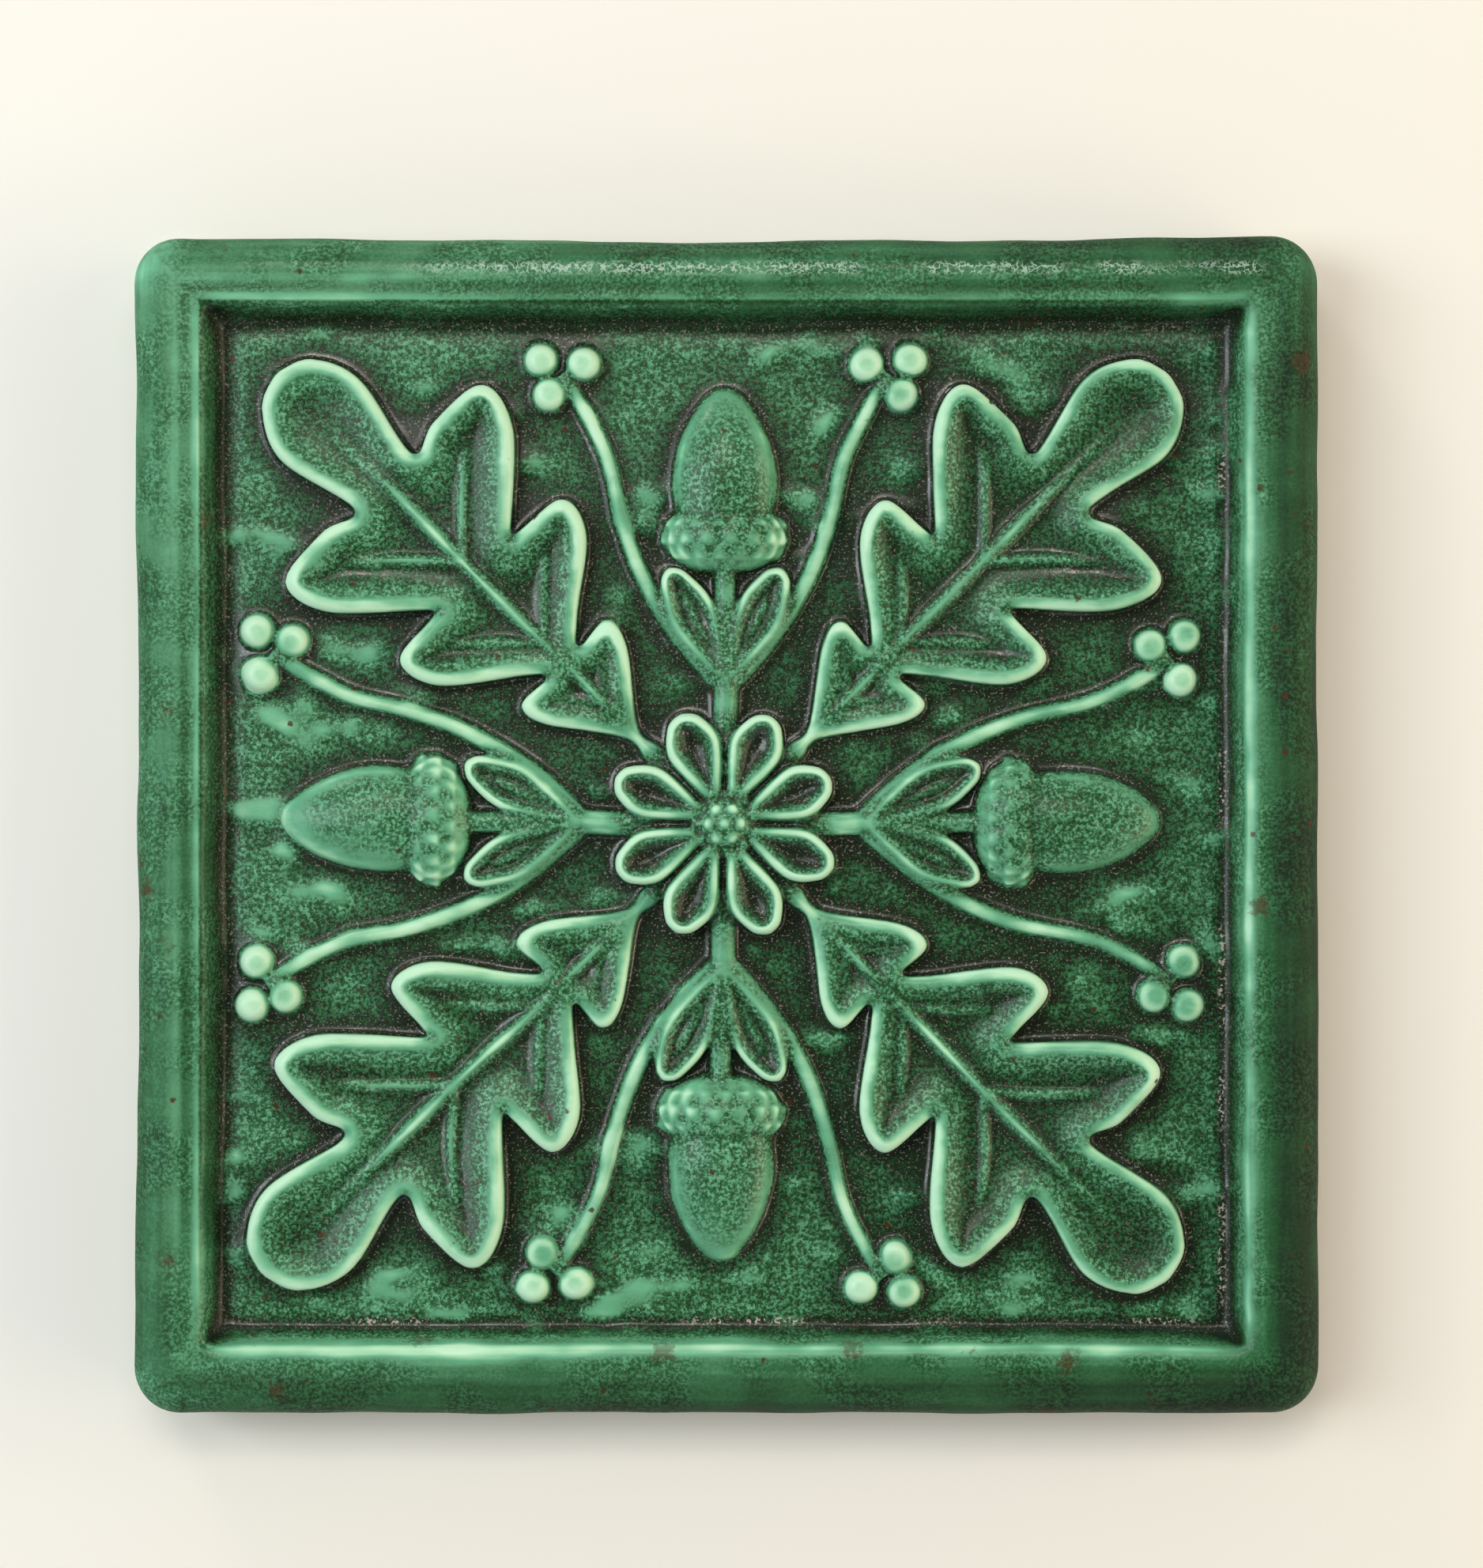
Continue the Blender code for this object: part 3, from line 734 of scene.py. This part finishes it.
def glazeMaterial():
    material = bpy.data.materials.new("breakingGreenGlaze")
    material.use_nodes = True
    tree = material.node_tree
    shader = tree.nodes["Principled BSDF"]
    bench = Wire(tree)
    place = bench.make("ShaderNodeTexCoord", out="Object")
    spot = {axis: bench.make("ShaderNodeSeparateXYZ", None, {"Vector": place}, axis) for axis in "XYZ"}

    def held(name):  # a value that the skin carries
        return bench.make("ShaderNodeAttribute", {"attribute_name": name}, out="Fac")

    def cloud(name, detail=2.0, roughness=0.55, stretch=None):  # noise about nought
        at = bench.vector("MULTIPLY", {0: place, 1: stretch}) if stretch else place
        values = {"Vector": at, "Scale": 1 / grain[name], "Detail": detail, "Roughness": roughness}
        return bench.make("ShaderNodeTexNoise", None, values) - 0.5

    def spots(name):  # the distance to the nearest of many scattered points
        values = {"Vector": place, "Scale": 1 / grain[name]}
        return bench.make("ShaderNodeTexVoronoi", {"feature": "F1"}, values, "Distance")

    def band(distance, name):
        begins, full, fades, ends = bands[name]
        return distance.between(begins, full) * (1 - distance.between(fades, ends))

    fine, mid, wide = held("glazeFine"), held("glazeMid"), held("glazeWide")
    mid = mid.atLeast(0.0) + (mid + glaze["domeEase"]).atMost(0.0)  # a gentle dome keeps its glaze
    thick = glaze["level"] + fine * glaze["fineShare"] + mid * glaze["midShare"]
    thick = thick + wide.atLeast(0.0) * glaze["hollowShare"] + wide.atMost(0.0) * glaze["swellShare"]
    filled = thick.between(*glaze["filled"])  # not on the ridges

    # how far outside the field's edge, and which walls face the light
    beyondX = (spot["X"] - field["offset"][0]).size() - field["halfWidth"]
    beyondY = (spot["Y"] - field["offset"][1]).size() - field["halfLength"]
    beyond = beyondX.atLeast(beyondY)
    outer, side = beyond.between(*beyondEdge["outer"]), beyond.between(*beyondEdge["side"])
    onBorder = beyond.between(*beyondEdge["border"])
    wall, lip = band(beyond, "wall"), band(beyond, "lip")
    # the lower right half, whose walls and lips face the lamps; the painted light and shade below follow it
    sunny = (spot["X"] - spot["Y"]).between(-0.020, 0.010)

    thick = thick - held("glazeRun").between(0.02, 0.40) * (1 - outer) * glaze["runOff"]
    thick = thick - held("toolStroke") * glaze["strokeThin"]
    calm = 1 - onBorder * 0.40  # the border was wiped smooth
    thick = thick + cloud("wash") * 0.22 + cloud("mottle", 2.0, 0.6, (0.6, 1.3, 1.0)) * 0.20 * calm
    thick = thick + cloud("rimPatch", 1.0) * (1 - thick.between(0.10, 0.40)) * glaze["uneven"]
    hollow = thick
    drawn = spot["X"] * 1.2 + (spot["X"] * 0.8 - spot["Y"] * 1.2) * onBorder  # the glaze is darker towards the lower right, most on the border
    thick = thick + drawn * glaze["drawn"] + outer * glaze["outerSide"]
    # painted light and shade: the lip gets thinner, paler glaze on the lower right, which faces the lamps,
    # and thicker, darker glaze on the upper left, which faces away
    thick = thick + lip * (glaze["paintedShadeLip"] - sunny * (glaze["paintedShadeLip"] + glaze["paintedLightLip"]))
    upright = (beyondX - beyondY).between(-0.0006, 0.0006)  # the left and right strips of the border
    streaks = cloud("streak", 2.0, 0.6, (0.05, 1.0, 1.0))
    streaks = streaks + (cloud("streak", 2.0, 0.6, (1.0, 0.05, 1.0)) - streaks) * upright
    thick = thick + streaks * onBorder * glaze["streaks"]
    # painted shade: on the upper left, away from the lamps, the walls and the groove beside the lip get
    # thicker, darker glaze
    paintedShadeFoot = wall * glaze["paintedShadeWall"] + band(beyond, "groove") * glaze["groove"]
    thick = thick + paintedShadeFoot * (1 - sunny) - band(beyond, "margin") * glaze["margin"]

    patch = cloud("borderPatch", 1.0)  # the border is smooth in places and curdled in others
    # the outer edge on the right, which faces away from the lamps, is made a little darker: partly thicker
    # glaze, partly painted shade
    thick = thick + (patch * 0.30 + outer * spot["X"].between(0.02, 0.07) * 0.02) * onBorder
    body = thick.between(*glaze["filled"]) * (1 - onBorder * (1 - patch.between(-0.10, 0.06)) * 0.75)
    curdle = cloud("curdle", 2.0, 0.70).between(-0.13, 0.13) - 0.5
    shown = thick + curdle * body * (0.42 - onBorder * 0.14) + cloud("cluster", 2.0, 0.6) * body * 0.28
    colour = shown.make("ShaderNodeValToRGB", {"stops": glaze["thickness"]}, {"Fac": shown}, "Color")

    # glaze pooled in hollows, and the walls on the upper left counted as pooled too, which is painted shade
    # in the dark pool tint
    poolAndPaintedShade = (hollow + wall * (1 - sunny) * 0.40 + curdle * 0.30).between(0.68, 0.98) * (1 - onBorder)
    colour = colour.tinted((*glaze["pool"], 1.0), poolAndPaintedShade * 0.42)
    crystals = cloud("crystal", 1.0).between(0.11, 0.17) * (poolAndPaintedShade * 0.7 + body * (0.3 - onBorder * 0.22))
    colour = colour.tinted((*glaze["crystal"], 1.0), crystals * 0.60)

    kept = (cloud("ironPatch", 0.0) + onBorder * 0.04).between(0.0, 0.05)
    iron = (1 - (spots("ironCell") + cloud("ironEdge", 0.0) * 0.12).between(0.05, 0.12)) * kept
    stain = 1 - (spots("stainCell") + cloud("stainEdge", 2.0, 0.75) * 0.42).between(0.05, 0.16)
    colour = colour.tinted((*glaze["iron"], 1.0), (iron * 0.90).atLeast(stain * onBorder * 0.62))

    crackle = 1 - cloud("paintedGlintNet", 2.0, 0.6).size().between(0.012, 0.06)
    paintedGlintNet = band(beyondY, "paintedGlintNet") * spot["Y"].between(0.0, 0.01)  # painted highlight: a net of pale flecks along the top edge, where the lamps' highlight falls on the crest
    paintedGlintNet = paintedGlintNet * spot["X"].between(-0.048, -0.030) * (1 - beyondX.between(0.0, 0.003))
    paintedGlintNet = paintedGlintNet * crackle * cloud("paintedGlintPatch", 1.0).between(-0.22, 0.02)
    colour = colour.tinted((*glaze["paintedGlintNet"], 1.0), paintedGlintNet * 0.70)
    # painted highlight: pale pinkish flecks along the foot of the walls that face the lamps
    paintedGlintFlecks = cloud("paintedFleck", 1.0).between(0.04, 0.12) * cloud("paintedFleckPatch", 0.0).between(0.0, 0.12)
    colour = colour.tinted((*glaze["paintedFleck"], 1.0), paintedGlintFlecks * band(beyond, "wallFoot") * sunny * 0.70)

    bare = 1 - (spot["Z"] + cloud("bareEdge", 0.0) * 0.0008).between(0.0007, 0.0011)  # clay at the foot
    clay = cloud("clay", 1.0) + 0.5
    clay = clay.make("ShaderNodeValToRGB", {"stops": glaze["clay"]}, {"Fac": clay}, "Color")
    colour = colour.tinted(clay, bare)
    tree.links.new(colour.socket, shader.inputs["Base Color"])

    rough = (glaze["roughness"] + curdle * body * 0.12 - crystals * 0.16).atLeast(glaze["glossiest"])
    atTop = spot["Y"].between(0.0650, 0.0680) * (1 - spot["X"].size().between(0.060, 0.066))
    dull = (bare + side + outer * (1 - atTop)).atMost(1.0)
    rough = rough + (glaze["dullest"] - rough) * (bare + (dull - bare) * 0.7)
    tree.links.new(rough.socket, shader.inputs["Roughness"])
    glint = atTop * outer * crackle * cloud("glint", 0.0).between(-0.14, 0.02)
    gloss = 0.20 + cloud("gloss", 1.0).between(0.02, 0.14) * 0.80
    coat = (0.08 + poolAndPaintedShade * gloss + crystals * 0.40 + glint).atMost(1.0)
    shaded = beyond.between(*beyondEdge["corner"]) * (1 - sunny)
    coat = coat * (1 - dull) * (1 - shaded * 0.85)
    tree.links.new(coat.socket, shader.inputs["Coat Weight"])

    relief = curdle * filled * 0.05 + cloud("pit", 1.0) * 0.12 + cloud("swell", 1.0) * 0.5
    bump = bench.make("ShaderNodeBump", None, {"Strength": 0.6, "Distance": 0.0005, "Height": relief})
    tree.links.new(bump.socket, shader.inputs["Normal"])
    shader.inputs["Coat Roughness"].default_value = glaze["coatRoughness"]
    shader.inputs["IOR"].default_value = glaze["ior"]
    return material


glazeFinish = glazeMaterial()
tree, sockets = layoutTree(glazeFinish)
stack = dies["Slab"]
useGroup(stack, tree, sockets, {name: dies[name] for name in dies if name != "Slab"} | layout)
remesh = stack.modifiers.new("oneBody", "REMESH")
remesh.mode = "VOXEL"
remesh.voxel_size = skin["voxel"]
tree, sockets = pressTree(glazeFinish)
useGroup(stack, tree, sockets, press)
tile = settled(stack, "glazedTile")
for name, die in dies.items():
    if name != "Slab":
        bpy.data.objects.remove(die, do_unlink=True)
print("skin pressed:", len(tile.data.polygons), "faces")

thin = tile.modifiers.new("thin", "DECIMATE")
thin.ratio = min(1.0, skin["triangles"] / (2 * len(tile.data.polygons)))
thin.use_collapse_triangulate = True
tile = settled(tile, "glazedTile")
tile.data.shade_smooth()
tile.data.materials.clear()
tile.data.materials.append(glazeFinish)
print("skin thinned:", len(tile.data.polygons), "faces")

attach(tile, "root")
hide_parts("relief_tile")


room = {
    "floor": linear(243, 240, 232), "floorSize": 3.0,
    "sky": (0.92, 0.96, 1.0), "sides": 0.80, "overhead": 0.05, "aloft": (0.10, 0.95),
    "cameraHeight": 0.46, "frameWidth": 0.1884, "cameraAt": (0.0020, 0.0052),
}


def makeFloor():
    size = room["floorSize"] / 2
    corners = [(-size, -size, 0), (size, -size, 0), (size, size, 0), (-size, size, 0)]
    floor = meshObject("floor", corners, [(0, 1, 2, 3)])
    material = bpy.data.materials.new("paleFloor")
    material.use_nodes = True
    shader = material.node_tree.nodes["Principled BSDF"]
    shader.inputs["Base Color"].default_value = (*room["floor"], 1.0)
    shader.inputs["Roughness"].default_value = 0.9
    floor.data.materials.append(material)


lamps = {  # place, size, power and colour, each turned to the tile's middle
    "windowTop": ((-0.05, 0.48, 1.08), (0.8, 0.4), 3.2, (1.0, 0.95, 0.88)),
    "windowPane": ((-0.10, 0.54, 1.00), (0.30, 0.14), 1.0, (1.0, 0.88, 0.78)),
    "windowLeft": ((-0.72, 0.12, 0.80), (0.5, 0.8), 6.5, (0.86, 0.95, 1.0)),
    "warmSide": ((0.75, -0.05, 0.30), (0.9, 0.5), 4.2, (1.0, 0.76, 0.48)),
    "lowWindow": ((-0.45, 0.75, 0.34), (0.18, 0.08), 1.0, (1.0, 0.90, 0.80)),
}


def addLamp(name, place, size, power, colour):
    lamp = bpy.data.lights.new(name, "AREA")
    lamp.shape = "RECTANGLE"
    lamp.size, lamp.size_y = size
    lamp.energy = power
    lamp.color = colour
    obj = bpy.data.objects.new(name, lamp)
    obj.location = place
    obj.rotation_euler = (-Vector(place)).to_track_quat("-Z", "Y").to_euler()
    bpy.context.scene.collection.objects.link(obj)


def lightRoom():  # the room is brighter round the sides than overhead
    world = bpy.data.worlds.new("roomLight")
    world.use_nodes = True
    shader = world.node_tree.nodes["Background"]
    bench = Wire(world.node_tree)
    aloft = bench.make("ShaderNodeTexCoord", out="Generated")
    aloft = bench.make("ShaderNodeSeparateXYZ", None, {"Vector": aloft}, "Z")
    strength = room["sides"] + (room["overhead"] - room["sides"]) * aloft.between(*room["aloft"])
    world.node_tree.links.new(strength.socket, shader.inputs["Strength"])
    shader.inputs["Color"].default_value = (*room["sky"], 1.0)
    bpy.context.scene.world = world


makeFloor()
for name, settings in lamps.items():
    addLamp(name, *settings)
lightRoom()
bpy.context.scene.view_settings.view_transform = "Standard"

lens = bpy.data.cameras.new("camera")
lens.sensor_fit = "HORIZONTAL"
lens.sensor_width = 36.0
lens.lens = 36.0 * room["cameraHeight"] / room["frameWidth"]
camera = bpy.data.objects.new("camera", lens)
camera.location = (*room["cameraAt"], room["cameraHeight"] + slab["thickness"])
bpy.context.scene.collection.objects.link(camera)
bpy.context.scene.camera = camera
print("floor, light and camera set")
